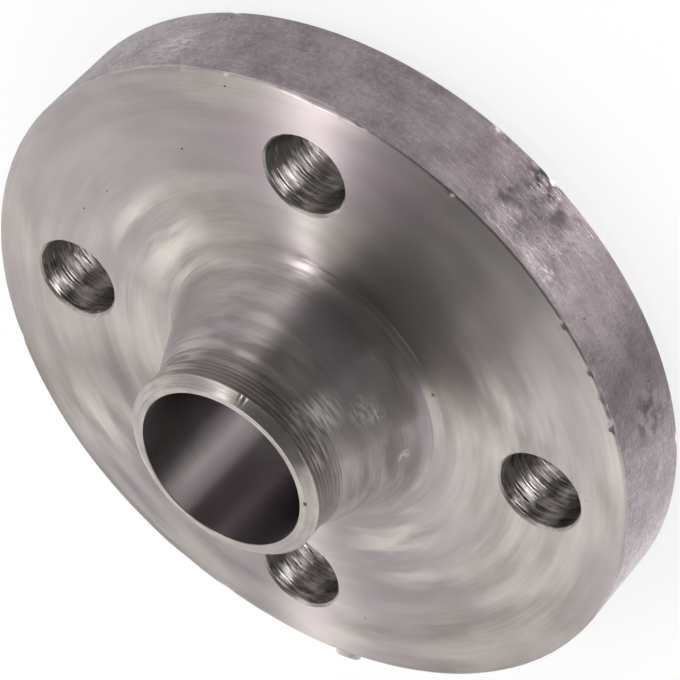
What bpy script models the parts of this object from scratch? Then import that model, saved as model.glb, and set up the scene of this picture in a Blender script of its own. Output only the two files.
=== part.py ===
# Weld neck flange for a 33.7 mm pipe: one forging, turned all over, with four drilled bolt holes.
# The origin is the centre of the sealing face and +Z runs up the bore, so the flange rests on its
# sealing face with the neck upward. All sizes are in metres.

from math import atan2, cos, pi, radians, sin, tan

import bmesh
import bpy

# The pipe that is welded on, and the weld preparation at the end of the neck
PIPE_DIAMETER = 0.0337
PIPE_WALL = 0.0026
ROOT_FACE = 0.0011                  # width of the flat ring left at the bore
BEVEL_ANGLE = radians(40)           # from the plane of the root face
NECK_STRAIGHT = 0.0068              # cylindrical end of the neck, bevel included
NECK_BLEND = 0.006                  # radius between the cylinder and the cone

# The hub
OVERALL_HEIGHT = 0.0406
HUB_DIAMETER = 0.0470               # where the cone's line meets the disc
HUB_FILLET = 0.0035

# The disc
FLANGE_DIAMETER = 0.115
FLANGE_THICKNESS = 0.018            # raised face included
FRONT_CHAMFER = 0.0006
REAR_CHAMFER = 0.001

# The bolt holes, which straddle the main axes
BOLT_HOLES = 4
BOLT_HOLE_DIAMETER = 0.014
BOLT_EDGE = 0.015                   # from the rim in to the middle of a hole
HOLE_CHAMFER = 0.0007

# The raised sealing face
FACE_MARGIN = 0.0015                # ring left between the bolt holes and the raised face
FACE_HEIGHT = 0.002
FACE_CORNER = 0.0008                # radius where the raised face rises from the disc
FACE_BREAK = 0.0003                 # sharp edges of the sealing face are broken

# A stub of forging flash that the lathe has left on the rim, under its front edge
FLASH_WIDTH = 0.006
FLASH_REACH = 0.0021                # beyond the rim
FLASH_HEIGHT = 0.003
FLASH_DROP = 0.0011                 # from the disc's front face down to the stub
FLASH_ANGLE = radians(143)
FLASH_EDGE = 0.0006

TURNED_STEPS = 96
DRILLED_STEPS = 32
OVERRUN = 0.002                     # how far a cutter runs past what it cuts

boreRadius = PIPE_DIAMETER / 2 - PIPE_WALL
neckRadius = PIPE_DIAMETER / 2
rimRadius = FLANGE_DIAMETER / 2
hubRadius = HUB_DIAMETER / 2
holeRadius = BOLT_HOLE_DIAMETER / 2
boltCircle = rimRadius - BOLT_EDGE              # 42.5 mm, a bolt circle of 85 mm across
faceRadius = boltCircle - holeRadius - FACE_MARGIN
discTop = FLANGE_THICKNESS
neckFoot = OVERALL_HEIGHT - NECK_STRAIGHT


def fillet(before, corner, after, radius, steps):
    """Points of the arc that rounds a corner of the outline, tangent to both of its sides."""
    toBefore = atan2(before[1] - corner[1], before[0] - corner[0])
    toAfter = atan2(after[1] - corner[1], after[0] - corner[0])
    opening = (toAfter - toBefore + pi) % (2 * pi) - pi
    reach = radius / sin(abs(opening) / 2)
    middle = toBefore + opening / 2
    centre = (corner[0] + reach * cos(middle), corner[1] + reach * sin(middle))
    turn = (pi - abs(opening)) * (-1 if opening > 0 else 1)
    start = toBefore - (pi / 2 if opening < 0 else -pi / 2) + pi
    return [(centre[0] + radius * cos(start + turn * i / steps),
             centre[1] + radius * sin(start + turn * i / steps)) for i in range(steps + 1)]


def turned(name, outline, steps, closed=True):
    """A solid turned about Z from (radius, height) points, which run down its outer side."""
    mesh = bpy.data.meshes.new(name)
    links = [(i, i + 1) for i in range(len(outline) - 1)]
    if closed:
        links.append((len(outline) - 1, 0))
    mesh.from_pydata([(r, 0, z) for r, z in outline], links, [])
    solid = bpy.data.objects.new(name, mesh)
    bpy.context.scene.collection.objects.link(solid)
    lathe = solid.modifiers.new("Lathe", 'SCREW')
    lathe.axis = 'Z'
    lathe.steps = lathe.render_steps = steps
    lathe.use_merge_vertices = True
    lathe.merge_threshold = 0.00001
    return solid


def flangeOutline():
    """The turned section, from the root face down the hub, the rim and the sealing face."""
    rootRadius = boreRadius + ROOT_FACE
    bevelHeight = (neckRadius - rootRadius) * tan(BEVEL_ANGLE)
    neckEnd = (neckRadius, OVERALL_HEIGHT - bevelHeight)
    coneTop = (neckRadius, neckFoot)
    coneFoot = (hubRadius, discTop)
    frontEdge = (rimRadius - FRONT_CHAMFER, discTop)
    rearEdge = (rimRadius - REAR_CHAMFER, FACE_HEIGHT)
    faceFoot = (faceRadius, FACE_HEIGHT)
    faceEdge = (faceRadius, FACE_BREAK)
    return [
        (rootRadius, OVERALL_HEIGHT),
        neckEnd,
        *fillet(neckEnd, coneTop, coneFoot, NECK_BLEND, 3),
        *fillet(coneTop, coneFoot, frontEdge, HUB_FILLET, 7),
        frontEdge,
        (rimRadius, discTop - FRONT_CHAMFER),
        (rimRadius, FACE_HEIGHT + REAR_CHAMFER),
        rearEdge,
        *fillet(rearEdge, faceFoot, faceEdge, FACE_CORNER, 4),
        faceEdge,
        (faceRadius - FACE_BREAK, 0),
        (boreRadius + FACE_BREAK, 0),
        (boreRadius, FACE_BREAK),
        (boreRadius, OVERALL_HEIGHT),
    ]


def drill(name, angle):
    """A drill with a countersink at both faces of the disc, standing on the bolt circle."""
    mouthRadius = holeRadius + HOLE_CHAMFER
    outline = [
        (0, discTop + OVERRUN),
        (mouthRadius, discTop + OVERRUN),
        (mouthRadius, discTop),
        (holeRadius, discTop - HOLE_CHAMFER),
        (holeRadius, FACE_HEIGHT + HOLE_CHAMFER),
        (mouthRadius, FACE_HEIGHT),
        (mouthRadius, -OVERRUN),
        (0, -OVERRUN),
    ]
    cutter = turned(name, outline, DRILLED_STEPS, closed=False)
    cutter.location = (boltCircle * cos(angle), boltCircle * sin(angle), 0)
    return cutter


def flashStub():
    """A low rounded stub: part of a disc whose chord on the rim is the stub's width."""
    radius = (FLASH_WIDTH ** 2 / 4 + FLASH_REACH ** 2) / (2 * FLASH_REACH)
    outward = rimRadius + FLASH_REACH - radius
    mesh = bpy.data.meshes.new("flash_stub")
    bm = bmesh.new()
    bmesh.ops.create_cone(bm, cap_ends=True, segments=24, radius1=radius, radius2=radius, depth=FLASH_HEIGHT)
    bm.to_mesh(mesh)
    bm.free()
    stub = bpy.data.objects.new("flash_stub", mesh)
    bpy.context.scene.collection.objects.link(stub)
    stub.location = (outward * cos(FLASH_ANGLE), outward * sin(FLASH_ANGLE),
                     discTop - FLASH_DROP - FLASH_HEIGHT / 2)
    rounding = stub.modifiers.new("Worn edges", 'BEVEL')
    rounding.width = FLASH_EDGE
    rounding.segments = 2
    return stub


def bake(solid):
    """Turns an object's modifiers into plain mesh."""
    view = bpy.context.evaluated_depsgraph_get()
    mesh = bpy.data.meshes.new_from_object(solid.evaluated_get(view))
    solid.modifiers.clear()
    solid.data = mesh
    mesh.name = solid.name


def combine(solid, tool, operation):
    """Cuts the tool out of the solid, or joins it on, and clears the tool away."""
    step = solid.modifiers.new(tool.name, 'BOOLEAN')
    step.object = tool
    step.operation = operation
    step.solver = 'EXACT'
    bake(solid)
    bpy.data.objects.remove(tool)


def turnedSteel():
    steel = bpy.data.materials.new("turned_steel")
    steel.use_nodes = True
    shader = steel.node_tree.nodes["Principled BSDF"]
    shader.inputs["Base Color"].default_value = (0.42, 0.38, 0.365, 1)
    shader.inputs["Metallic"].default_value = 1
    shader.inputs["Roughness"].default_value = 0.36
    return steel


def main():
    for old in list(bpy.data.objects):
        bpy.data.objects.remove(old)

    flange = turned("weld_neck_flange", flangeOutline(), TURNED_STEPS)
    combine(flange, flashStub(), 'UNION')
    for n in range(BOLT_HOLES):
        # half a pitch off the X axis
        combine(flange, drill(f"drill_{n + 1}", 2 * pi * (n + 0.5) / BOLT_HOLES), 'DIFFERENCE')
    flange.data.shade_smooth()
    flange.data.set_sharp_from_angle(angle=radians(28))
    flange.data.materials.clear()
    flange.data.materials.append(turnedSteel())


main()
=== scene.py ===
# The looks of a weld neck flange: one steel forging, turned all over and drilled, with the marks of
# its making and handling, in a plain white studio. The part's own frame: metres, +Z up the bore.

import math

import bmesh
import bpy
import numpy as np
from mathutils import Matrix, Vector, noise


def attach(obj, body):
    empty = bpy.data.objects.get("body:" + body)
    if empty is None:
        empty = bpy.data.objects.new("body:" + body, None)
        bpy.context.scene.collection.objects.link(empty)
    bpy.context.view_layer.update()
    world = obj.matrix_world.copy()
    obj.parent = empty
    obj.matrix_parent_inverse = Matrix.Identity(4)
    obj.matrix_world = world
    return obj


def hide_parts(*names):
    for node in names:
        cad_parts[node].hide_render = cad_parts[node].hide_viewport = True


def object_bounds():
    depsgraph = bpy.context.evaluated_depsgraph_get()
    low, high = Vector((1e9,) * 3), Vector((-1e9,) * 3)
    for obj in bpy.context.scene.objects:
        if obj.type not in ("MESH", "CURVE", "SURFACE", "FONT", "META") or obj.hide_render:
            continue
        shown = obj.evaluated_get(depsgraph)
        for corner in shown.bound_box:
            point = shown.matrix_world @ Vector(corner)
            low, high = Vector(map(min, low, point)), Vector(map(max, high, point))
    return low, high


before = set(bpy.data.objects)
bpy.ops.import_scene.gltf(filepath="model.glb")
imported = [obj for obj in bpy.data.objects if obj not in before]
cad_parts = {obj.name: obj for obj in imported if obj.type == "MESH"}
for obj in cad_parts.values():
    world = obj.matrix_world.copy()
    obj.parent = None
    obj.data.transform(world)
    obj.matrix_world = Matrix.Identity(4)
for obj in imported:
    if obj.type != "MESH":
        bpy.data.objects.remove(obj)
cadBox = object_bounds()
mm = 0.001
slack = 0.02                    # mm off a surface within which a point still counts as lying on it


def addNode(tree, kind, settings, inputs, output=0):
    # adds one node with its settings and links, and gives one of its output sockets
    new = tree.nodes.new(kind)
    for name, value in settings.items():
        setattr(new, name, value)
    for key, value in inputs.items():
        if isinstance(value, bpy.types.NodeSocket):
            tree.links.new(value, new.inputs[key])
        else:
            new.inputs[key].default_value = value
    return new.outputs[output] if new.outputs else new


def newTree(name, kind, inputs, outputs):
    # an empty tree with its named sockets, and the sockets from which its nodes take the inputs
    tree = bpy.data.node_groups.new(name, kind)
    for side, sockets in (("INPUT", inputs), ("OUTPUT", outputs)):
        for socket, holding in sockets.items():
            tree.interface.new_socket(socket, in_out=side, socket_type="NodeSocket" + holding)
    return tree, tree.nodes.new("NodeGroupInput").outputs


def newObject(name, data):
    piece = bpy.data.objects.new(name, data)
    bpy.context.scene.collection.objects.link(piece)
    return piece


def bake(piece):
    # turns a piece's modifiers into plain mesh
    view = bpy.context.evaluated_depsgraph_get()
    mesh = bpy.data.meshes.new_from_object(piece.evaluated_get(view))
    piece.modifiers.clear()
    piece.data = mesh
    mesh.name = piece.name


# The turned section, in mm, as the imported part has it, with the finer cuts that the tools leave
section = {
    "height": cadBox[1].z / mm,
    "rim": cadBox[1].x / mm,
    "neck": 16.85,              # radius of the pipe's outside
    "bore": 14.25,
    "rootFace": 1.1,
    "rootBreak": (0.05, 0.04),  # out and down from the root face's edge to where the bevel is straight
    "bevel": 40,                # degrees from the root face
    "bevelLip": 0.09,           # burr rolled over at the bevel's outer edge
    "neckStraight": 6.8,
    "neckBlend": 6,
    "neckRidge": 0.75,          # feed of the coarse last cut on the neck
    "neckRidgeDepth": 0.07,
    "hub": 23.5,                # where the cone's line meets the disc
    "hubFillet": 3.5,
    "toe": 25.75,               # step where the facing tool stopped short of the fillet
    "toeDepth": 0.2,
    "toeStep": 0.25,            # width of the step, then how far out its floor and its run-out end
    "toeFloor": 0.35,
    "toeRunout": 1.1,
    "dish": 32.6,               # the inner facing pass, out to here, is a touch deeper
    "dishDepth": 0.05,
    "dishStart": 1.8,           # its level part starts this far out from the toe
    "dishRunout": 1.2,
    "edgeZone": 3,              # outer ring of the face, in closer steps because it gets worn
    "zoneGap": 0.6,
    "discTop": 18,
    "frontEdge": 0.34,          # the front edge is rubbed round
    "rearChamfer": 1.0,
    "raisedFace": 34,
    "raisedHeight": 2,
    "raisedCorner": 0.8,
    "raisedBreak": 0.3,
    "serration": 1.0,           # feed of the grooves on the sealing face
    "serrationDepth": 0.06,
    "boreBreak": 0.12,
}


def roundCorner(before, corner, after, radius, steps):
    # the arc that rounds a corner of the outline, tangent to both of its sides
    corner = Vector(corner)
    one = (Vector(before) - corner).normalized()
    two = (Vector(after) - corner).normalized()
    half = one.angle(two) / 2
    centre = corner + (one + two).normalized() * radius / math.sin(half)
    start = corner + one * radius / math.tan(half) - centre
    end = corner + two * radius / math.tan(half) - centre
    sweep = start.angle(end)
    return [centre + (start * math.sin(sweep * (1 - i / steps)) + end * math.sin(sweep * i / steps))
            / math.sin(sweep) for i in range(steps + 1)]


def cutAlong(start, end, parts, ridges=0, depth=0):
    # points along a straight cut, with the feed ridges of the tool sunk in; the metal lies to its right
    start, end = Vector(start), Vector(end)
    way = end - start
    inward = Vector((way.y, -way.x)).normalized()
    return [start + way * i / parts
            + inward * depth * (1 - math.cos(2 * math.pi * ridges * i / parts)) / 2
            for i in range(parts + 1)]


def bevelEnd(s):
    # the height at which the weld bevel meets the neck
    return s["height"] - (s["neck"] - (s["bore"] + s["rootFace"])) * math.tan(math.radians(s["bevel"]))


def flangeSection(s):
    # from the root face down the hub, the disc, the rim and the sealing face, and back up the bore
    rootEdge = s["bore"] + s["rootFace"]
    bevelTop = (rootEdge + s["rootBreak"][0], s["height"] - s["rootBreak"][1])
    bevelFoot = bevelEnd(s)
    neckFoot = (s["neck"], s["height"] - s["neckStraight"])
    hubFoot = (s["hub"], s["discTop"])
    lip = s["bevelLip"]
    blend = roundCorner((s["neck"], s["height"]), neckFoot, hubFoot, s["neckBlend"], 5)
    fillet = roundCorner(neckFoot, hubFoot, (s["rim"], s["discTop"]), s["hubFillet"], 14)
    ridges = round((bevelFoot - 4 * lip - blend[0].y) / s["neckRidge"])
    dished = s["discTop"] - s["dishDepth"]
    zoneStart = s["rim"] - s["edgeZone"]
    rimFoot = (s["rim"], s["raisedHeight"] + s["rearChamfer"])
    frontEdge = roundCorner(hubFoot, (s["rim"], s["discTop"]), rimFoot, s["frontEdge"], 4)
    rearEdge = (s["rim"] - s["rearChamfer"], s["raisedHeight"])
    faceFoot = (s["raisedFace"], s["raisedHeight"])
    sealRim = s["raisedFace"] - s["raisedBreak"]
    sealBore = s["bore"] + s["raisedBreak"]
    grooves = round((sealRim - sealBore) / s["serration"])
    return [
        Vector((s["bore"] + s["boreBreak"], s["height"])),
        Vector((rootEdge, s["height"])),
        *cutAlong(bevelTop, (s["neck"] - lip / 2, bevelFoot + lip / 2), 3),
        Vector((s["neck"] + lip, bevelFoot)),
        Vector((s["neck"] + lip, bevelFoot - 1.5 * lip)),
        *cutAlong((s["neck"], bevelFoot - 4 * lip), blend[0], ridges * 4, ridges, s["neckRidgeDepth"]),
        *blend[1:],
        *cutAlong(blend[-1], fillet[0], 9)[1:-1],
        *fillet[:-1],
        Vector((s["toe"] - s["toeStep"], s["discTop"])),
        Vector((s["toe"], s["discTop"] - s["toeDepth"])),
        Vector((s["toe"] + s["toeFloor"], s["discTop"] - s["toeDepth"])),
        Vector((s["toe"] + s["toeRunout"], dished)),
        *cutAlong((s["toe"] + s["dishStart"], dished), (s["dish"] - s["dishRunout"], dished), 2),
        Vector((s["dish"], s["discTop"])),
        *cutAlong((s["dish"] + s["zoneGap"], s["discTop"]), (zoneStart - s["zoneGap"], s["discTop"]), 7),
        *cutAlong((zoneStart, s["discTop"]), frontEdge[0], 5),
        *frontEdge[1:],
        *cutAlong(frontEdge[-1], rimFoot, 17)[1:],
        *cutAlong(rimFoot, rearEdge, 3)[1:],
        *roundCorner(rearEdge, faceFoot, (s["raisedFace"], 0), s["raisedCorner"], 5),
        Vector((s["raisedFace"], s["raisedBreak"])),
        *cutAlong((sealRim, 0), (sealBore, 0), grooves * 2, grooves, s["serrationDepth"]),
        *cutAlong((s["bore"], s["raisedBreak"]), (s["bore"], s["height"] - s["boreBreak"]), 8),
        Vector((s["bore"] + s["boreBreak"], s["height"])),
    ]


# The lathe: sweeps a section once round the axis, with closer steps on the side that is looked at most
lathe = {
    "steps": 490,
    "crowding": 0.55,           # 0 is even, and towards 1 the steps gather on one side
    "crowdedSide": math.radians(286),
    "weld": 0.0005 * mm,        # points closer than this become one
    "sharp": math.radians(24),  # the angle from which an edge isn't smoothed
    "flat": 0.002,              # mm off the disc's face within which a facet is left flat
}


def latheTree():
    tree, given = newTree("Lathe", "GeometryNodeTree", {
        "Section": "Geometry", "Steps": "Int", "Crowding": "Float", "Crowded side": "Float",
        "Weld": "Float", "Finish": "Material"}, {"Turned": "Geometry"})
    points = addNode(tree, "GeometryNodeAttributeDomainSize", {}, {0: given["Section"]}, "Point Count")
    rings = addNode(tree, "ShaderNodeMath", {"operation": "ADD"}, {0: given["Steps"], 1: 1})
    grid = addNode(tree, "GeometryNodeMeshGrid", {}, {"Vertices X": points, "Vertices Y": rings}, "Mesh")
    index = addNode(tree, "GeometryNodeInputIndex", {}, {})
    share = addNode(tree, "ShaderNodeMath", {"operation": "DIVIDE"}, {0: index, 1: rings})
    row = addNode(tree, "ShaderNodeMath", {"operation": "FLOOR"}, {0: share})
    ring = addNode(tree, "ShaderNodeMath", {"operation": "MODULO"}, {0: index, 1: rings})
    place = addNode(tree, "GeometryNodeInputPosition", {}, {})
    point = addNode(tree, "GeometryNodeSampleIndex", {"data_type": "FLOAT_VECTOR"},
                    {"Geometry": given["Section"], "Value": place, "Index": row})
    turn = addNode(tree, "ShaderNodeMath", {"operation": "DIVIDE"}, {0: ring, 1: given["Steps"]})
    angle = addNode(tree, "ShaderNodeMath", {"operation": "MULTIPLY"}, {0: turn, 1: 2 * math.pi})
    ahead = addNode(tree, "ShaderNodeMath", {"operation": "SUBTRACT"}, {0: angle, 1: given["Crowded side"]})
    wave = addNode(tree, "ShaderNodeMath", {"operation": "SINE"}, {0: ahead})
    shift = addNode(tree, "ShaderNodeMath", {"operation": "MULTIPLY"}, {0: wave, 1: given["Crowding"]})
    crowded = addNode(tree, "ShaderNodeMath", {"operation": "SUBTRACT"}, {0: angle, 1: shift})
    swept = addNode(tree, "ShaderNodeVectorRotate", {"rotation_type": "Z_AXIS"},
                    {"Vector": point, "Angle": crowded})
    placed = addNode(tree, "GeometryNodeSetPosition", {}, {"Geometry": grid, "Position": swept})
    welded = addNode(tree, "GeometryNodeMergeByDistance", {}, {"Geometry": placed, "Distance": given["Weld"]})
    real = addNode(tree, "GeometryNodeRealizeInstances", {}, {"Geometry": welded})
    done = addNode(tree, "GeometryNodeSetMaterial", {}, {"Geometry": real, "Material": given["Finish"]})
    addNode(tree, "NodeGroupOutput", {}, {0: done})
    return tree


def runTree(piece, tree, values):
    # puts a tree on a piece, sets its inputs by their sockets' identifiers and bakes the result
    step = piece.modifiers.new(tree.name, "NODES")
    step.node_group = tree
    for socket in tree.interface.items_tree:
        if socket.in_out == "INPUT" and socket.name in values:
            step[socket.identifier] = values[socket.name]
    bake(piece)


def turned(name, outline, tree, steps, crowding, finish):
    mesh = bpy.data.meshes.new(name)
    mesh.from_pydata([(p.x * mm, 0, p.y * mm) for p in outline], [], [])
    piece = newObject(name, mesh)
    runTree(piece, tree, {"Steps": steps, "Crowding": crowding, "Crowded side": lathe["crowdedSide"],
                          "Weld": lathe["weld"], "Finish": finish})
    return piece


# The four drilled holes: a worn drill has scored their walls and left uneven lips
holes = {
    "count": 4,
    "circle": 42.5,             # radius of the bolt circle
    "radius": 7.0,
    "chamfer": 0.32,
    "first": math.radians(45),
    "steps": 88,
    "score": 0.64,              # feed of the scoring
    "scoreDepth": 0.06,
    "tear": 0.42 * mm,          # how far the wall wanders
    "tearSize": 1.5 * mm,
    "overrun": 2,               # how far the drill stands out of the work at both ends
    "clearance": 0.1,           # by which it is wider than the mouth there
    "lipWear": 0.3,             # most that a lip is worn back, on the side that the drill leaned to
    "lipSide": math.radians(140),
    "lipFocus": 1.5,            # how closely the wear keeps to that side
    "lipReach": 1.6,            # how far from the lip the face is drawn along
    "lipInner": 0.1,            # and how far inside the mouth
    "lipWaves": 2.5,            # unevenness round the mouth
    "lipSeed": 3.0,
}
holes["axis"] = holes["circle"] * math.cos(holes["first"])      # of each hole, off the x and y axes


def drillOutline(h, s):
    top, foot = s["discTop"], s["raisedHeight"]
    mouth = h["radius"] + h["chamfer"]
    wallTop = (h["radius"], top - h["chamfer"])
    wallFoot = (h["radius"], foot + h["chamfer"])
    scores = round((wallTop[1] - wallFoot[1]) / h["score"])
    return [
        Vector((0, top + h["overrun"])),
        Vector((mouth + h["clearance"], top + h["overrun"])),
        Vector((mouth + h["clearance"], top + h["clearance"])),
        *cutAlong((mouth, top), wallTop, 2),
        *cutAlong(wallTop, wallFoot, scores * 2, scores, -h["scoreDepth"])[1:],
        Vector((mouth, foot)),
        Vector((mouth, -h["overrun"])),
        Vector((0, -h["overrun"])),
    ]


def drillingTree():
    tree, given = newTree("Drilling", "GeometryNodeTree", {
        "Flange": "Geometry", "Drill": "Object", "Holes": "Int", "Circle": "Float", "First hole": "Float",
        "Tear": "Float", "Tear size": "Float", "Seed": "Float", "Weld": "Float", "Finish": "Material"},
        {"Drilled": "Geometry"})
    circle = addNode(tree, "GeometryNodeMeshCircle", {},
                     {"Vertices": given["Holes"], "Radius": given["Circle"]})
    turn = addNode(tree, "ShaderNodeCombineXYZ", {}, {"Z": given["First hole"]})
    centres = addNode(tree, "GeometryNodeTransform", {}, {"Geometry": circle, "Rotation": turn})
    drill = addNode(tree, "GeometryNodeObjectInfo", {}, {"Object": given["Drill"]}, "Geometry")
    drills = addNode(tree, "GeometryNodeInstanceOnPoints", {}, {"Points": centres, "Instance": drill})
    solid = addNode(tree, "GeometryNodeRealizeInstances", {}, {"Geometry": drills})
    place = addNode(tree, "GeometryNodeInputPosition", {}, {})
    fineness = addNode(tree, "ShaderNodeMath", {"operation": "DIVIDE"}, {0: 1, 1: given["Tear size"]})
    # the tears follow each other more closely down the wall than round it
    close = addNode(tree, "ShaderNodeVectorMath", {"operation": "MULTIPLY"}, {0: place, 1: (1, 1, 2.6)})
    chatter = addNode(tree, "ShaderNodeTexNoise", {"noise_dimensions": "4D"},
                      {"Vector": close, "W": given["Seed"], "Scale": fineness, "Detail": 3, "Roughness": 0.6})
    both = addNode(tree, "ShaderNodeMath", {"operation": "SUBTRACT"}, {0: chatter, 1: 0.5})
    depth = addNode(tree, "ShaderNodeMath", {"operation": "MULTIPLY"}, {0: both, 1: given["Tear"]})
    outward = addNode(tree, "GeometryNodeInputNormal", {}, {})
    level = addNode(tree, "ShaderNodeVectorMath", {"operation": "MULTIPLY"}, {0: outward, 1: (1, 1, 0)})
    offset = addNode(tree, "ShaderNodeVectorMath", {"operation": "SCALE"}, {0: level, "Scale": depth})
    torn = addNode(tree, "GeometryNodeSetPosition", {}, {"Geometry": solid, "Offset": offset})
    drilled = addNode(tree, "GeometryNodeMeshBoolean", {"operation": "DIFFERENCE", "solver": "EXACT"},
                      {"Mesh 1": given["Flange"], "Mesh 2": torn})
    welded = addNode(tree, "GeometryNodeMergeByDistance", {},
                     {"Geometry": drilled, "Distance": given["Weld"]})
    real = addNode(tree, "GeometryNodeRealizeInstances", {}, {"Geometry": welded})
    done = addNode(tree, "GeometryNodeSetMaterial", {}, {"Geometry": real, "Material": given["Finish"]})
    addNode(tree, "NodeGroupOutput", {}, {0: done})
    return tree


# A stub of forging flash that was sheared off and left standing on the rim
flash = {
    "angle": math.radians(143),
    "wide": 6,
    "reach": 2.7,
    "high": 3.4,
    "drop": 0.5,
    "sunk": 1.5,                # how deep it is rooted in the rim
    "squareness": 0.55,         # 1 is a ball, less is boxier
    "lumps": 1.7,
    "rough": 0.07,
}


def flashStub(f, s):
    half = Vector((f["reach"] + f["sunk"], f["wide"] / 2, f["high"] / 2))
    bm = bmesh.new()
    bmesh.ops.create_icosphere(bm, subdivisions=4, radius=1)
    for v in bm.verts:
        boxy = Vector([math.copysign(abs(c) ** f["squareness"], c) for c in v.co])
        lump = noise.noise(v.co * f["lumps"]) * f["rough"]
        v.co = Vector([c * (1 + lump) * h for c, h in zip(boxy, half)])
        v.co.x = min(v.co.x, half.x)
    mesh = bpy.data.meshes.new("flash_stub")
    bm.to_mesh(mesh)
    bm.free()
    turn = Matrix.Rotation(f["angle"], 4, "Z")
    out = Matrix.Translation((s["rim"] - f["sunk"], 0, s["discTop"] - f["drop"] - half.z))
    mesh.transform(Matrix.Scale(mm, 4) @ turn @ out)
    return newObject("flash_stub", mesh)


def combine(piece, other, operation):
    step = piece.modifiers.new(other.name, "BOOLEAN")
    step.object = other
    step.operation = operation
    step.solver = "EXACT"
    bake(piece)
    bpy.data.objects.remove(other)


# Small pits left in the turned surfaces: angle in degrees, radius, height and size in mm
pits = [
    (345.3, 43.1, 18, 0.26), (329.6, 55.0, 18, 0.22), (13.9, 42.0, 18, 0.24), (23.6, 43.5, 18, 0.2),
    (248.2, 25.45, 18, 0.3), (228.0, 50.5, 18, 0.18), (205.0, 30.0, 18, 0.16), (150.0, 48.0, 18, 0.2),
    (280.5, 57.5, 5.6, 0.3), (337.4, 57.5, 4.2, 0.36), (285.0, 57.5, 11.4, 0.2), (262.0, 57.5, 14.1, 0.24),
    (312.0, 57.5, 8.2, 0.2), (327.0, 57.5, 12.6, 0.22), (246.0, 57.5, 7.3, 0.26), (352.0, 57.5, 10.5, 0.2),
    (230.0, 15.3, 40.55, 0.36), (46.0, 16.3, 39.9, 0.22), (70.0, 57.5, 9.0, 0.3), (130.0, 57.5, 6.0, 0.26),
]


def pitTool():
    bm = bmesh.new()
    for i, (angle, radius, height, size) in enumerate(pits):
        # each leans and is stretched in its own way
        out = Matrix.Translation(Vector(onCircle(angle, radius, height)) * mm)
        lean = Matrix.Rotation(math.radians(angle), 4, "Z") @ Matrix.Rotation(i * 1.3, 4, "X")
        stretch = Matrix.Diagonal((0.8, 0.7 + 0.3 * math.sin(i * 2.1), 1.1, 1))
        bmesh.ops.create_icosphere(bm, subdivisions=2, radius=size * mm, matrix=out @ lean @ stretch)
    mesh = bpy.data.meshes.new("pits")
    bm.to_mesh(mesh)
    bm.free()
    return newObject("pits", mesh)


# Handling: where the front edge is rubbed more, and the dents. Angles in degrees, the rest in mm
edgeWear = {
    "width": 0.1,               # of the rubbing all round, of which this share is even
    "even": 0.4,
    "uneven": 0.5,              # how much the places that are rubbed more vary
    "waves": 6,
    "reach": 2.5,               # how far in the metal is drawn along
    "seed": 4.0,
}
rubbed = [
    # angle, half the spread, how much more
    (347, 15, 0.4),
    (312.5, 9, 0.7),
    (250, 9, 0.16),
    (210, 14, 0.12),
    (30, 30, 0.2),
    (120, 25, 0.24),
]
dents = [
    # angle, height, along the edge, across it, depth
    (337.8, 17.9, 1.6, 1.9, 0.3),
    (328.2, 17.8, 1.5, 1.6, 0.18),
    (305.2, 17.6, 2.4, 1.2, 0.12),
    (289.2, 17.9, 1.8, 1.4, 0.18),
    (276.0, 17.6, 1.8, 1.3, 0.12),
    (263.7, 17.7, 2.0, 1.8, 0.26),
    (261.6, 17.4, 1.8, 1.5, 0.16),
    (255.5, 17.7, 1.9, 1.6, 0.22),
    (250.8, 17.6, 3.0, 1.6, 0.18),
    (248.2, 17.5, 2.1, 1.5, 0.17),
    (245.3, 17.8, 2.2, 1.8, 0.28),
    (290.1, 2.9, 2.6, 2.0, 0.18),
    (279.4, 2.7, 3.4, 2.2, 0.2),
    (337.4, 3.4, 1.8, 1.6, 0.24),
    (297.4, 8.3, 2.4, 1.2, 0.12),
    (271.0, 11.2, 2.0, 1.2, 0.1),
    (232.0, 2.9, 2.2, 1.8, 0.26),
    (120.0, 17.7, 2.6, 1.7, 0.26),
    (64.0, 17.6, 3.0, 1.6, 0.2),
    (92.0, 3.0, 3.0, 1.9, 0.26),
    (20.0, 3.0, 3.0, 2.0, 0.26),
]
burr = {
    "angle": 255,
    "spread": 9,
    "blunt": 0.7,               # 1 tapers off evenly, less stays high for longer
    "out": 0.45,
    "up": 0.37,
    "root": 0.07,               # how far inside the neck's outside it starts to fold
    "rootRise": 0.55,           # share of the rise at its root
    "below": 0.04,              # the lip it is folded from: middle below the bevel's end, and half height
    "halfHigh": 0.12,
}
neckDents = [
    # angle, radius, height, along, across, depth
    (301.5, 16.9, 39.6, 0.8, 2.0, 0.07),
    (304.5, 16.9, 39.6, 0.6, 1.6, 0.05),
    (272.0, 17.0, 39.3, 2.6, 0.7, 0.08),
]


def smooth(t):
    t = np.clip(t, 0, 1)
    return t * t * (3 - 2 * t)


def turnFrom(angle, middle):
    # degrees round from a middle, from -180 to 180
    return (angle - middle + 180) % 360 - 180


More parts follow.
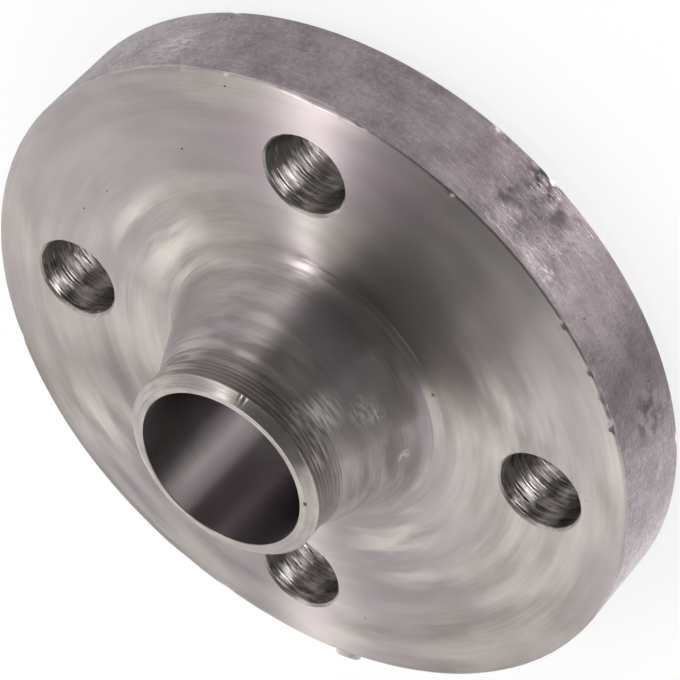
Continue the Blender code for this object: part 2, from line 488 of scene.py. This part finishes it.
def wearEdge(p, s, w):
    # rubs the front edge rounder, as if its rounding had grown, by an uneven amount
    away = s["rim"] - np.hypot(p[:, 0], p[:, 1])
    below = s["discTop"] - p[:, 2]
    start = s["frontEdge"]
    end = start + w["reach"]
    near = (away > -slack) & (away < end) & (below > -slack) & (below < end)
    angle = np.degrees(np.arctan2(p[:, 1], p[:, 0]))
    amount = np.zeros(len(p))
    for middle, reach, more in rubbed:
        amount += more * smooth(1 - np.abs(turnFrom(angle, middle)) / reach)
    for i in np.nonzero(near)[0]:
        way = Vector((p[i, 0], p[i, 1], 0)).normalized()
        uneven = noise.fractal(way * w["waves"] + Vector((0, 0, w["seed"])), 0.7, 2, 4)
        amount[i] = max(0, amount[i] * (1 + w["uneven"] * uneven) + w["width"] * (w["even"] + uneven))
    amount[~near] = 0
    inward = amount * np.clip(away / start, 0, 1) * smooth(1 - (away - start) / w["reach"])
    lower = amount * np.clip(below / start, 0, 1) * smooth(1 - (below - start) / w["reach"])
    shrink = 1 - inward / (s["rim"] - away)
    p[:, 0] *= shrink
    p[:, 1] *= shrink
    p[:, 2] -= lower


def dent(p, centre, inward, along, across, depth):
    # pushes the metal in over a long spot, deepest in its middle
    turn = Vector(centre).to_2d().normalized()
    wayRound = np.array((-turn.y, turn.x, 0))
    off = p - np.array(centre)
    far = (off @ wayRound) / (along / 2)
    side = off - np.outer(off @ wayRound, wayRound)
    near = np.clip(1 - far ** 2 - (np.linalg.norm(side, axis=1) / (across / 2)) ** 2, 0, 1)
    p += np.outer(near ** 1.5 * depth, np.array(inward))


def raiseBurr(p, s, b):
    # folds the bevel's outer edge outwards and up into a thin burr
    radius = np.hypot(p[:, 0], p[:, 1])
    angle = np.degrees(np.arctan2(p[:, 1], p[:, 0]))
    amount = smooth(1 - np.abs(turnFrom(angle, b["angle"])) / b["spread"]) ** b["blunt"]
    onLip = np.abs(p[:, 2] - bevelEnd(s) + b["below"]) < b["halfHigh"]
    amount = np.where((radius > s["neck"] - b["root"]) & onLip, amount, 0)
    fold = np.clip((radius - s["neck"] + b["root"]) / (b["root"] + s["bevelLip"]), 0, 1)
    p[:, :2] *= (1 + b["out"] * amount * fold / radius)[:, None]
    p[:, 2] += b["up"] * amount * (b["rootRise"] + (1 - b["rootRise"]) * fold)


def wearLips(p, s, h):
    # wears the upper lips of the drilled holes back, most on one side; the face round them gives way
    middles = np.sign(p[:, :2]) * h["axis"]
    off = p[:, :2] - middles
    away = np.linalg.norm(off, axis=1)
    mouth = h["radius"] + h["chamfer"]
    beyond = away - mouth
    onFace = np.abs(p[:, 2] - s["discTop"]) < slack
    near = (beyond > -h["lipInner"]) & (beyond < h["lipReach"]) & onFace
    for i in np.nonzero(near)[0]:
        way = off[i] / away[i]
        lean = max(0, way @ np.array((math.cos(h["lipSide"]), math.sin(h["lipSide"]))))
        uneven = noise.noise(Vector((*(way * h["lipWaves"]), h["lipSeed"])))
        share = min(1, 1 - beyond[i] / h["lipReach"])
        p[i, :2] += way * h["lipWear"] * lean ** h["lipFocus"] * (1 + 0.5 * uneven) * share


def onCircle(angle, radius, height):
    turn = math.radians(angle)
    return (radius * math.cos(turn), radius * math.sin(turn), height)


def addWear(mesh, s):
    p = np.zeros(len(mesh.vertices) * 3, np.float32)
    mesh.vertices.foreach_get("co", p)
    p = p.reshape(-1, 3).astype(float) / mm
    wearEdge(p, s, edgeWear)
    wearLips(p, s, holes)
    raiseBurr(p, s, burr)
    for angle, height, along, across, depth in dents:
        out = Vector(onCircle(angle, 1, 0))
        lean = Vector((0, 0, 1 if height > s["discTop"] - 2 else -1 if height < s["raisedHeight"] + 2 else 0))
        dent(p, onCircle(angle, s["rim"], height), -(out + lean).normalized(), along, across, depth)
    for angle, radius, height, along, across, depth in neckDents:
        out = Vector(onCircle(angle, 1, 0)) + Vector((0, 0, 1))
        dent(p, onCircle(angle, radius, height), -out.normalized(), along, across, depth)
    mesh.vertices.foreach_set("co", (p * mm).astype(np.float32).ravel())
    mesh.update()


def toLinear(hexColour):
    # an sRGB hex value as Blender's linear red, green, blue and alpha
    parts = [int(hexColour[i:i + 2], 16) / 255 for i in (1, 3, 5)]
    return (*[c / 12.92 if c <= 0.04045 else ((c + 0.055) / 1.055) ** 2.4 for c in parts], 1)


def toolPathGroup():
    # where a point lies on the tool's path: x and y round the work's axis and the way across the cuts
    tree, given = newTree("Tool path", "ShaderNodeTree", {"Axis offset": "Float"},
                          {"Path": "Vector", "Tangent": "Vector"})
    place = addNode(tree, "ShaderNodeTexCoord", {}, {}, "Object")
    inMm = addNode(tree, "ShaderNodeVectorMath", {"operation": "SCALE"}, {0: place, "Scale": 1 / mm})
    side = addNode(tree, "ShaderNodeVectorMath", {"operation": "SIGN"}, {0: inMm})
    level = addNode(tree, "ShaderNodeVectorMath", {"operation": "MULTIPLY"}, {0: side, 1: (1, 1, 0)})
    axis = addNode(tree, "ShaderNodeVectorMath", {"operation": "SCALE"},
                   {0: level, "Scale": given["Axis offset"]})
    local = addNode(tree, "ShaderNodeVectorMath", {"operation": "SUBTRACT"}, {0: inMm, 1: axis})
    flat = addNode(tree, "ShaderNodeVectorMath", {"operation": "MULTIPLY"}, {0: local, 1: (1, 1, 0)})
    radius = addNode(tree, "ShaderNodeVectorMath", {"operation": "LENGTH"}, {0: flat}, "Value")
    height = addNode(tree, "ShaderNodeSeparateXYZ", {}, {0: local}, "Z")
    # across the cuts is outwards on a level face and down on a wall
    across = addNode(tree, "ShaderNodeMath", {"operation": "SUBTRACT"}, {0: radius, 1: height})
    rise = addNode(tree, "ShaderNodeCombineXYZ", {}, {"Z": across})
    path = addNode(tree, "ShaderNodeVectorMath", {"operation": "ADD"}, {0: flat, 1: rise})
    # each hole gets its own part of the pattern
    apart = addNode(tree, "ShaderNodeVectorMath", {"operation": "MULTIPLY_ADD"},
                    {0: axis, 1: (5, 3, 0), 2: path})
    wayRound = addNode(tree, "ShaderNodeVectorMath", {"operation": "CROSS_PRODUCT"}, {0: (0, 0, 1), 1: flat})
    tangent = addNode(tree, "ShaderNodeVectorMath", {"operation": "NORMALIZE"}, {0: wayRound})
    out = tree.nodes.new("NodeGroupOutput").inputs
    tree.links.new(apart, out["Path"])
    tree.links.new(tangent, out["Tangent"])
    return tree


def cutMarksGroup():
    # noise in marks of a real length and width in mm, laid along the tool's path
    tree, given = newTree("Cut marks", "ShaderNodeTree", {
        "Path": "Vector", "Along": "Float", "Across": "Float", "Detail": "Float", "Seed": "Float"},
        {"Marks": "Float"})
    size = addNode(tree, "ShaderNodeCombineXYZ", {},
                   {"X": given["Along"], "Y": given["Along"], "Z": given["Across"]})
    scaled = addNode(tree, "ShaderNodeVectorMath", {"operation": "DIVIDE"}, {0: given["Path"], 1: size})
    moved = addNode(tree, "ShaderNodeVectorMath", {"operation": "ADD"}, {0: scaled, 1: given["Seed"]})
    marks = addNode(tree, "ShaderNodeTexNoise", {}, {"Vector": moved, "Scale": 1, "Detail": given["Detail"]})
    addNode(tree, "NodeGroupOutput", {}, {0: marks})
    return tree


toolPath = toolPathGroup()
cutMarks = cutMarksGroup()


def startFinish(name, look):
    material = bpy.data.materials.new(name)
    material.use_nodes = True
    tree = material.node_tree
    shader = tree.nodes["Principled BSDF"]
    shader.inputs["Metallic"].default_value = 1
    # a quarter turn from the way the cuts run, so that the shine spreads across them
    shader.inputs["Anisotropic"].default_value = look["grain"]
    shader.inputs["Anisotropic Rotation"].default_value = 0.25
    path = addNode(tree, "ShaderNodeGroup", {"node_tree": toolPath},
                   {"Axis offset": look.get("axis", 0)}, "Path")
    tree.links.new(path.node.outputs["Tangent"], shader.inputs["Tangent"])
    return material, tree, shader, path


def addMarks(tree, path, colour, marks):
    # scuffs, stains and painted light and shade at known places: each fades out from its middle and is broken
    # into strokes
    place = addNode(tree, "ShaderNodeTexCoord", {}, {}, "Object")
    for angle, radius, height, size, along, across, hexColour in marks:
        middle = Vector(onCircle(angle, radius, height)) * mm
        far = addNode(tree, "ShaderNodeVectorMath", {"operation": "DISTANCE"}, {0: place, 1: middle}, "Value")
        fade = addNode(tree, "ShaderNodeMapRange", {},
                       {"Value": far, "From Min": size * 0.3 * mm, "From Max": size * mm,
                        "To Min": 1, "To Max": 0})
        strokes = addNode(tree, "ShaderNodeGroup", {"node_tree": cutMarks},
                          {"Path": path, "Along": along, "Across": across, "Detail": 3, "Seed": angle})
        shown = addNode(tree, "ShaderNodeMapRange", {}, {"Value": strokes, "From Min": 0.44, "From Max": 0.6})
        share = addNode(tree, "ShaderNodeMath", {"operation": "MULTIPLY"}, {0: fade, 1: shown})
        colour = addNode(tree, "ShaderNodeMix", {"data_type": "RGBA"},
                         {"Factor": share, 6: colour, 7: toLinear(hexColour)}, 2)
    return colour


def turnedFinish(name, look):
    material, tree, shader, path = startFinish(name, look)
    cloud = addNode(tree, "ShaderNodeGroup", {"node_tree": cutMarks},
                    {"Path": path, "Along": look["cloudAlong"], "Across": look["cloudAcross"], "Detail": 3,
                     "Seed": look["seed"]})
    rings = addNode(tree, "ShaderNodeGroup", {"node_tree": cutMarks},
                    {"Path": path, "Along": look["ringAlong"], "Across": look["ring"], "Detail": 2,
                     "Seed": look["seed"] + 3})
    # stains from handling and oil, broader than the clouds and less drawn out
    smudge = addNode(tree, "ShaderNodeGroup", {"node_tree": cutMarks},
                     {"Path": path, "Along": look["cloudAlong"] * 1.6, "Across": look["cloudAlong"] * 1.2,
                      "Detail": 2, "Seed": look["seed"] + 6})
    both = addNode(tree, "ShaderNodeMath", {"operation": "MULTIPLY_ADD"},
                   {0: rings, 1: look["ringTone"], 2: cloud})
    middle = 0.5 + 0.5 * look["ringTone"]
    share = addNode(tree, "ShaderNodeMapRange", {},
                    {"Value": both, "From Min": middle - 0.2, "From Max": middle + 0.2})
    steel = addNode(tree, "ShaderNodeMix", {"data_type": "RGBA"},
                    {"Factor": share, 6: toLinear(look["dark"]), 7: toLinear(look["light"])}, 2)
    stained = addNode(tree, "ShaderNodeMapRange", {},
                      {"Value": smudge, "From Min": 0.42, "From Max": 0.62, "To Max": 0.8})
    colour = addNode(tree, "ShaderNodeMix", {"data_type": "RGBA"},
                     {"Factor": stained, 6: steel, 7: toLinear(look["stain"])}, 2)
    tree.links.new(addMarks(tree, path, colour, look.get("marks", [])), shader.inputs["Base Color"])
    rough = addNode(tree, "ShaderNodeMapRange", {},
                    {"Value": share, "To Min": look["rough"][1], "To Max": look["rough"][0]})
    tree.links.new(rough, shader.inputs["Roughness"])
    bump = addNode(tree, "ShaderNodeBump", {}, {"Height": rings, "Distance": look["ringDepth"] * mm})
    tree.links.new(bump, shader.inputs["Normal"])
    return material


def rimFinish(name, look):
    # fine specks of scale over broad patches, with a faint hatch from the turning
    material, tree, shader, path = startFinish(name, look)
    specks = addNode(tree, "ShaderNodeGroup", {"node_tree": cutMarks},
                     {"Path": path, "Along": look["speck"], "Across": look["speck"], "Detail": 4,
                      "Seed": look["seed"]})
    hatch = addNode(tree, "ShaderNodeGroup", {"node_tree": cutMarks},
                    {"Path": path, "Along": look["hatchAlong"], "Across": look["hatch"], "Detail": 2,
                     "Seed": look["seed"] + 3})
    patches = addNode(tree, "ShaderNodeGroup", {"node_tree": cutMarks},
                      {"Path": path, "Along": look["patch"], "Across": look["patch"] * 0.8, "Detail": 2,
                       "Seed": look["seed"] + 6})
    fine = addNode(tree, "ShaderNodeMix", {}, {"Factor": 0.4, "A": specks, "B": hatch})
    tone = addNode(tree, "ShaderNodeMix", {}, {"Factor": 0.42, "A": fine, "B": patches})
    share = addNode(tree, "ShaderNodeMapRange", {}, {"Value": tone, "From Min": 0.38, "From Max": 0.62})
    colour = addNode(tree, "ShaderNodeMix", {"data_type": "RGBA"},
                     {"Factor": share, 6: toLinear(look["dark"]), 7: toLinear(look["light"])}, 2)
    tree.links.new(addMarks(tree, path, colour, look["marks"]), shader.inputs["Base Color"])
    rough = addNode(tree, "ShaderNodeMapRange", {},
                    {"Value": specks, "From Min": 0.3, "From Max": 0.7,
                     "To Min": look["rough"][1], "To Max": look["rough"][0]})
    tree.links.new(rough, shader.inputs["Roughness"])
    bump = addNode(tree, "ShaderNodeBump", {}, {"Height": fine, "Distance": look["depth"] * mm})
    tree.links.new(bump, shader.inputs["Normal"])
    return material


# The looks. Every pattern has its size in mm. The marks that the tools' feed leaves are really 0.1 to 0.3
# mm apart, too fine for the render on most surfaces, so ring and hatch are as coarse as they need to show.
# The marks of each are scuffs, stains and some painted light and shade: angle in degrees, then radius,
# height, size, and the strokes' length and width in mm, and their colour.

# Mild steel, faced and then rubbed with emery: satin, with faint cloudy arcs
facedLook = {
    "light": "#D1C9C2", "dark": "#AFA8A3", "stain": "#B8ADB1", "rough": (0.32, 0.4), "grain": 1,
    "cloudAlong": 20, "cloudAcross": 5, "ringAlong": 24, "ring": 0.45, "ringTone": 0.3,
    "ringDepth": 0.005, "seed": 1.3, "marks": [
        # painted shade that damps the glint on the hub's fillet
        (314.0, 25.4, 18.2, 3.4, 6.0, 3.0, "#8E8683"),
        # painted light that lifts the dark reflection on the face beside the hub
        (281.0, 45.0, 18.0, 22.0, 60.0, 50.0, "#E6DEDA"),
        (285.0, 31.0, 18.0, 11.0, 40.0, 30.0, "#E2DAD6"),
        (302.0, 47.0, 18.0, 18.0, 50.0, 40.0, "#C2B3B9"),
        (317.0, 50.0, 18.0, 16.0, 50.0, 40.0, "#BCADB3"),
        (332.0, 46.0, 18.0, 16.0, 50.0, 40.0, "#AFA0A6"),
        # painted light: pale streaks that lift the face where the lighting leaves it dark
        (12.0, 31.0, 18.0, 12.0, 20.0, 4.0, "#EBE2DA"),
        (170.0, 31.0, 18.0, 12.0, 20.0, 4.0, "#EBE2DA"),
        (82.0, 46.0, 18.0, 12.0, 20.0, 5.0, "#E8DFD8"),
        (245.0, 40.0, 18.0, 16.0, 20.0, 6.0, "#9F9794"),
    ],
}
# Scuffs and darker patches that run over the hub and the neck, and painted shade that damps the glint on the
# fillet
scuffsAndPaintedShade = [
    (268.5, 17.6, 32.4, 4.2, 3.0, 0.5, "#F4EDEA"),
    (252.0, 20.3, 25.5, 1.8, 1.2, 0.5, "#F4EDEA"),
    (257.0, 19.6, 27.2, 3.0, 1.5, 0.5, "#DAD2D0"),
    (225.0, 21.4, 23.0, 1.6, 0.8, 0.6, "#EAE4DE"),
    (276.0, 17.1, 35.8, 3.0, 2.5, 0.5, "#D2CACA"),
    (255.0, 17.0, 36.4, 3.6, 4.0, 0.45, "#E2DADA"),
    # painted shade that damps the glint on the hub's fillet
    (314.0, 25.0, 18.9, 3.6, 6.0, 3.0, "#7A7270"),
    (318.0, 17.7, 32.0, 9.0, 12.0, 4.0, "#867D7D"),
    (340.0, 17.7, 32.0, 9.0, 12.0, 4.0, "#8F8686"),
    (212.0, 19.4, 27.5, 11.0, 14.0, 4.0, "#88807D"),
    (229.0, 20.0, 26.5, 8.0, 12.0, 5.0, "#8A827F"),
    (204.0, 18.0, 32.0, 7.0, 12.0, 5.0, "#8F8784"),
    (0.0, 17.0, 36.4, 8.0, 7.0, 0.8, "#D8D0CE"),
]
# Mild steel turned at a coarser feed: clear rings
hubLook = {
    "light": "#BFB7B3", "dark": "#A49C9C", "stain": "#ABA2A5", "rough": (0.34, 0.46), "grain": 0.85,
    "cloudAlong": 9, "cloudAcross": 5, "ringAlong": 10, "ring": 0.4, "ringTone": 0.6,
    "ringDepth": 0.01, "seed": 7.1, "marks": scuffsAndPaintedShade,
}
# Mild steel turned coarsest, at the end of the neck: dull, with torn grooves
neckLook = {
    "light": "#AFA6A5", "dark": "#807778", "stain": "#999091", "rough": (0.38, 0.5), "grain": 0.8,
    "cloudAlong": 6, "cloudAcross": 3, "ringAlong": 16, "ring": 0.42, "ringTone": 1.0,
    "ringDepth": 0.035, "seed": 4.6, "marks": scuffsAndPaintedShade,
}
# Mild steel freshly cut for the weld, and edges rubbed bright
brightLook = {
    "light": "#C4BDB7", "dark": "#A8A09C", "stain": "#B3AAA7", "rough": (0.32, 0.44), "grain": 0.65,
    "cloudAlong": 4, "cloudAcross": 2, "ringAlong": 9, "ring": 0.3, "ringTone": 0.9,
    "ringDepth": 0.02, "seed": 2.9, "marks": [
        # painted light on the sheared end of the flash, lifting its dark top
        (143.0, 59.0, 17.0, 5.0, 40.0, 40.0, "#EDE6E0"),
    ],
}
# Mild steel, bored: smooth, and darker than the faces
boredLook = {
    "light": "#968F8F", "dark": "#7B7472", "stain": "#8B7F84", "rough": (0.3, 0.38), "grain": 0.95,
    "cloudAlong": 14, "cloudAcross": 8, "ringAlong": 20, "ring": 0.5, "ringTone": 0.4,
    "ringDepth": 0.004, "seed": 5.2,
}
# Mild steel torn by a blunt drill
drilledLook = {
    "light": "#D8D0CC", "dark": "#5A5452", "stain": "#968E8C", "rough": (0.32, 0.44), "grain": 0.95,
    "cloudAlong": 2.6, "cloudAcross": 2.2, "ringAlong": 6, "ring": 0.32, "ringTone": 1.0,
    "ringDepth": 0.07, "seed": 3.7, "axis": holes["axis"],
}
# Mild steel rim, turned over forging scale and left dull
rimLook = {
    "light": "#D6C8CD", "dark": "#AA9CA2", "rough": (0.24, 0.34), "grain": 0.1,
    "speck": 0.8, "hatch": 0.28, "hatchAlong": 3, "patch": 5, "depth": 0.08, "seed": 9.4,
    "marks": [
        (280.0, 57.5, 4.0, 5.5, 1.8, 1.2, "#62585A"),
        (287.6, 57.5, 2.4, 2.4, 1.0, 0.8, "#8E7468"),
        # painted shade that darkens the rim from 273 to 282 degrees, where the lamp below brightens it
        (277.0, 57.5, 6.0, 7.0, 6.0, 5.0, "#70676A"),
        (282.0, 57.5, 12.0, 7.5, 6.0, 5.0, "#756C6F"),
        (273.0, 57.5, 11.0, 5.5, 5.0, 4.0, "#847A7D"),
        (271.0, 57.5, 15.4, 1.6, 0.8, 0.5, "#F2EAF0"),
        (241.0, 57.5, 9.0, 6.0, 2.0, 1.4, "#8A8084"),
        (343.0, 57.5, 12.0, 5.0, 2.2, 0.6, "#EEE6EA"),
    ],
}


# Where one finish ends and the next begins, in mm, and how much of a facet's normal points along the axis
borders = {
    "level": 0.97,
    "upright": 0.3,
    "rimUpright": 0.35,
    "holeRound": 0.4,           # beyond the mouths of the holes
    "lipDeep": 0.6,
    "weldEnd": 1.7,             # below the root face
    "edgeWide": 0.6,            # of the rubbed edges of the rim
    "stub": 0.2,                # beyond the rim
    "neckEnd": 0.8,             # below the straight part of the neck
    "hubFoot": 0.4,             # above the disc
}


def finishOf(centre, normal, s, h, b):
    # which finish a facet has, by the surface it lies on; centre in mm
    radius = centre.to_2d().length
    fromHole = math.hypot(abs(centre.x) - h["axis"], abs(centre.y) - h["axis"])
    tilt = abs(normal.z)
    if fromHole < h["radius"] + h["chamfer"] + b["holeRound"] and tilt < b["level"]:
        lip = normal.z > b["upright"] and centre.z > s["discTop"] - b["lipDeep"]
        return "bright" if lip else "drilled"
    if radius < s["bore"] + slack and tilt < b["upright"]:
        return "bored"
    slanting = b["upright"] < tilt < b["level"]
    if slanting and radius > s["rim"] - s["rearChamfer"] - b["edgeWide"]:
        return "bright"
    if centre.z > s["height"] - b["weldEnd"] or radius > s["rim"] + b["stub"]:
        return "bright"
    if radius > s["rim"] - b["edgeWide"] and centre.z < s["discTop"] and tilt <= b["rimUpright"]:
        return "rim"
    if centre.z > s["height"] - s["neckStraight"] - b["neckEnd"]:
        return "neck"
    if centre.z > s["discTop"] + b["hubFoot"]:
        return "hub"
    return "faced"


print("Turning the flange")
finishes = {
    "faced": turnedFinish("faced_steel", facedLook),
    "hub": turnedFinish("turned_hub_steel", hubLook),
    "bright": turnedFinish("bright_cut_steel", brightLook),
    "bored": turnedFinish("bored_steel", boredLook),
    "neck": turnedFinish("rough_turned_steel", neckLook),
    "rim": rimFinish("scaly_rim_steel", rimLook),
    "drilled": turnedFinish("drilled_steel", drilledLook),
}
spin = latheTree()
flange = turned("weld_neck_flange_finished", flangeSection(section), spin, lathe["steps"],
                lathe["crowding"], finishes["faced"])
combine(flange, flashStub(flash, section), "UNION")

print("Drilling the bolt holes")
drill = turned("drill", drillOutline(holes, section), spin, holes["steps"], 0, finishes["drilled"])
runTree(flange, drillingTree(), {
    "Drill": drill, "Holes": holes["count"], "Circle": holes["circle"] * mm, "First hole": holes["first"],
    "Tear": holes["tear"], "Tear size": holes["tearSize"], "Seed": 2.0, "Weld": 4 * lathe["weld"],
    "Finish": finishes["faced"]})
bpy.data.objects.remove(drill)
combine(flange, pitTool(), "DIFFERENCE")

print("Marking its edges and giving each surface its finish")
addWear(flange.data, section)
flange.data.materials.clear()
order = list(finishes)
for name in order:
    flange.data.materials.append(finishes[name])
for facet in flange.data.polygons:
    finish = finishOf(facet.center / mm, facet.normal, section, holes, borders)
    facet.material_index = order.index(finish)
bm = bmesh.new()
bm.from_mesh(flange.data)
bmesh.ops.dissolve_degenerate(bm, dist=6 * lathe["weld"], edges=bm.edges)
print("triangles", len(bm.calc_loop_triangles()), "open edges", sum(not e.is_manifold for e in bm.edges))
bm.to_mesh(flange.data)
bm.free()
flange.data.shade_smooth()
flange.data.set_sharp_from_angle(angle=lathe["sharp"])
for facet in flange.data.polygons:
    # the disc's face is dead flat right up to the lips of its holes
    facet.use_smooth = abs(facet.center.z / mm - section["discTop"]) > lathe["flat"]
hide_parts("weld_neck_flange")
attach(flange, "root")


def direction(azimuth, height):
    a, h = math.radians(azimuth), math.radians(height)
    return Vector((math.cos(a) * math.cos(h), math.sin(a) * math.cos(h), math.sin(h)))


# The studio: a white floor and white surroundings, a long strip lamp overhead, and curtains, screens and
# two more lamps that only show in the metal
studio = {
    "floorSize": 6.0,
    "floorDrop": 0.1,           # mm under the sealing face, so that the two don't share a plane
    "floor": "#F7F7F7",
    "glow": 0.75,               # share of the paper's white that takes no shadow
    "clothAway": 1.9,
}
# the softboxes: azimuth, distance out and height up of each, the way its length lies, size and watts
softboxes = {
    "strip": {"azimuth": 29, "out": 0.55, "up": 1.22, "along": direction(134, 0),
              "size": (0.065, 1.7), "power": 2.5},
    "back": {"azimuth": 104.5, "out": 1.75, "up": 0.26, "along": direction(0, 90),
             "size": (0.33, 1.1), "power": 3.4},
    "under": {"azimuth": 248, "out": 0.52, "up": -1.5, "along": direction(302, 0),
              "size": (0.7, 1.05), "power": 14},
}
# the cloths: colour, middle and corners, each as azimuth and height in degrees
cloths = {
    "black_curtain": ("#5C5C5C", (265, 45), [
        (262, -4), (262, 38), (240, 51), (209, 51), (192, 57), (167, 61), (141, 60), (119, 52), (105, 45),
        (93, 56), (76, 66), (39, 71), (1, 64), (344, 54), (336, 45), (328, 7), (328, -4), (300, -4),
        (280, -4)]),
    "grey_screen": ("#868686", (234, 18), [
        (204, -4), (204, 20), (209, 50), (239, 50), (261, 37), (261, -4), (240, -4), (222, -4)]),
    "pale_screen": ("#C4C4C4", (45, 45), [
        (101, 41), (94, 48), (88, 53), (78, 58), (60, 61), (42, 61), (25, 58), (5, 51), (350, 40), (350, 20),
        (30, 20), (60, 34), (80, 39)]),
    "back_screen": ("#E4E4E4", (124, 12), [
        (109, -20), (109, 12), (109, 34), (124, 34), (140, 34), (140, 12), (140, -20), (124, -20)]),
    "near_cloth": ("#AAAAAA", (328, -40), [
        (264, -12), (305, -12), (335, -12), (10, -12), (30, -12), (30, -40), (30, -72), (345, -76),
        (264, -60), (264, -42)]),
    "side_cloth": ("#C4C4C4", (62, -40), [
        (30, -12), (58, -12), (94, -12), (94, -40), (94, -66), (58, -74), (30, -72), (30, -40)]),
    "low_screen": ("#BEBEBE", (243, -38), [
        (223, -12), (243, -12), (264, -12), (264, -40), (264, -60), (243, -60), (225, -60), (224, -40)]),
    "far_cloth": ("#888888", (210, -46), [
        (194, -20), (208, -20), (223, -20), (224, -45), (228, -72), (190, -72), (192, -45)]),
    "left_cloth": ("#D6D6D6", (168, -40), [
        (146, -14), (168, -14), (193, -20), (192, -45), (190, -72), (150, -72), (146, -45)]),
}


def stageObject(name, points, faces, material):
    mesh = bpy.data.meshes.new(name)
    mesh.from_pydata(points, [], faces)
    mesh.materials.append(material)
    piece = newObject(name, mesh)
    return piece


def plainPaint(name, colour):
    material = bpy.data.materials.new(name)
    material.use_nodes = True
    shader = material.node_tree.nodes["Principled BSDF"]
    shader.inputs["Base Color"].default_value = toLinear(colour)
    shader.inputs["Roughness"].default_value = 0.9
    shader.inputs["Specular IOR Level"].default_value = 0.1
    return material


print("Building the studio")
edge = studio["floorSize"] / 2
low = -studio["floorDrop"] * mm
floor = stageObject("floor", [(-edge, -edge, low), (edge, -edge, low), (edge, edge, low), (-edge, edge, low)],
                    [(0, 1, 2, 3)], plainPaint("floor_paper", studio["floor"]))
floor.visible_glossy = False
floor.visible_shadow = False
paper = floor.data.materials[0].node_tree
glow = addNode(paper, "ShaderNodeEmission", {}, {"Color": toLinear("#FFFFFF"), "Strength": 1})
seen = addNode(paper, "ShaderNodeLightPath", {}, {}, "Is Camera Ray")
part = addNode(paper, "ShaderNodeMath", {"operation": "MULTIPLY"}, {0: seen, 1: studio["glow"]})
shaded = paper.nodes["Principled BSDF"].outputs[0]
mixed = addNode(paper, "ShaderNodeMixShader", {}, {0: part, 1: shaded, 2: glow})
under = addNode(paper, "ShaderNodeNewGeometry", {}, {}, "Backfacing")
clear = addNode(paper, "ShaderNodeBsdfTransparent", {}, {})
# clear from below, so that a view from there sees the part
sided = addNode(paper, "ShaderNodeMixShader", {}, {0: under, 1: mixed, 2: clear})
paper.links.new(sided, paper.nodes["Material Output"].inputs["Surface"])

for name, (colour, middle, corners) in cloths.items():
    # each is seen only in the metal, and is spread between its corners round its middle
    points = [direction(*corner) * studio["clothAway"] for corner in (middle, *corners)]
    panels = [(0, i, i % len(corners) + 1) for i in range(1, len(corners) + 1)]
    cloth = stageObject(name, points, panels, plainPaint(name, colour))
    cloth.visible_camera = False
    cloth.visible_diffuse = False
    cloth.visible_shadow = False

for name, box in softboxes.items():
    # each faces the flange; only the strip lights the floor, the others show in the metal alone
    light = bpy.data.lights.new(name + "_softbox", "AREA")
    light.shape = "RECTANGLE"
    light.size, light.size_y = box["size"]
    light.energy = box["power"]
    lamp = newObject(name + "_softbox", light)
    place = direction(box["azimuth"], 0) * box["out"] + Vector((0, 0, box["up"]))
    away = place.normalized()
    side = box["along"].cross(away).normalized()
    turn = Matrix((side, away.cross(side), away)).transposed().to_4x4()
    lamp.matrix_world = Matrix.Translation(place) @ turn
    lamp.visible_diffuse = name == "strip"

world = bpy.data.worlds.new("white_surroundings")
world.use_nodes = True
world.node_tree.nodes["Background"].inputs["Color"].default_value = toLinear("#FFFFFF")
world.node_tree.nodes["Background"].inputs["Strength"].default_value = 1
bpy.context.scene.world = world

# The camera stands at the photograph's angle, rolled so that the neck points down to the left
view = {
    "place": (0.14030, -0.48758, 0.39760),      # metres
    "aim": (0.004165, -0.013709, 0.018),
    "roll": -136.837,                           # degrees
    "lens": 217.895,
}
camera = bpy.data.cameras.new("camera")
camera.lens = view["lens"]
camera.clip_start = 0.01
eye = newObject("camera", camera)
look = (Vector(view["aim"]) - Vector(view["place"])).to_track_quat("-Z", "Y").to_matrix()
eye.matrix_world = (Matrix.Translation(view["place"])
                    @ (look @ Matrix.Rotation(math.radians(view["roll"]), 3, "Z")).to_4x4())
bpy.context.scene.camera = eye
bpy.context.scene.view_settings.view_transform = "Standard"
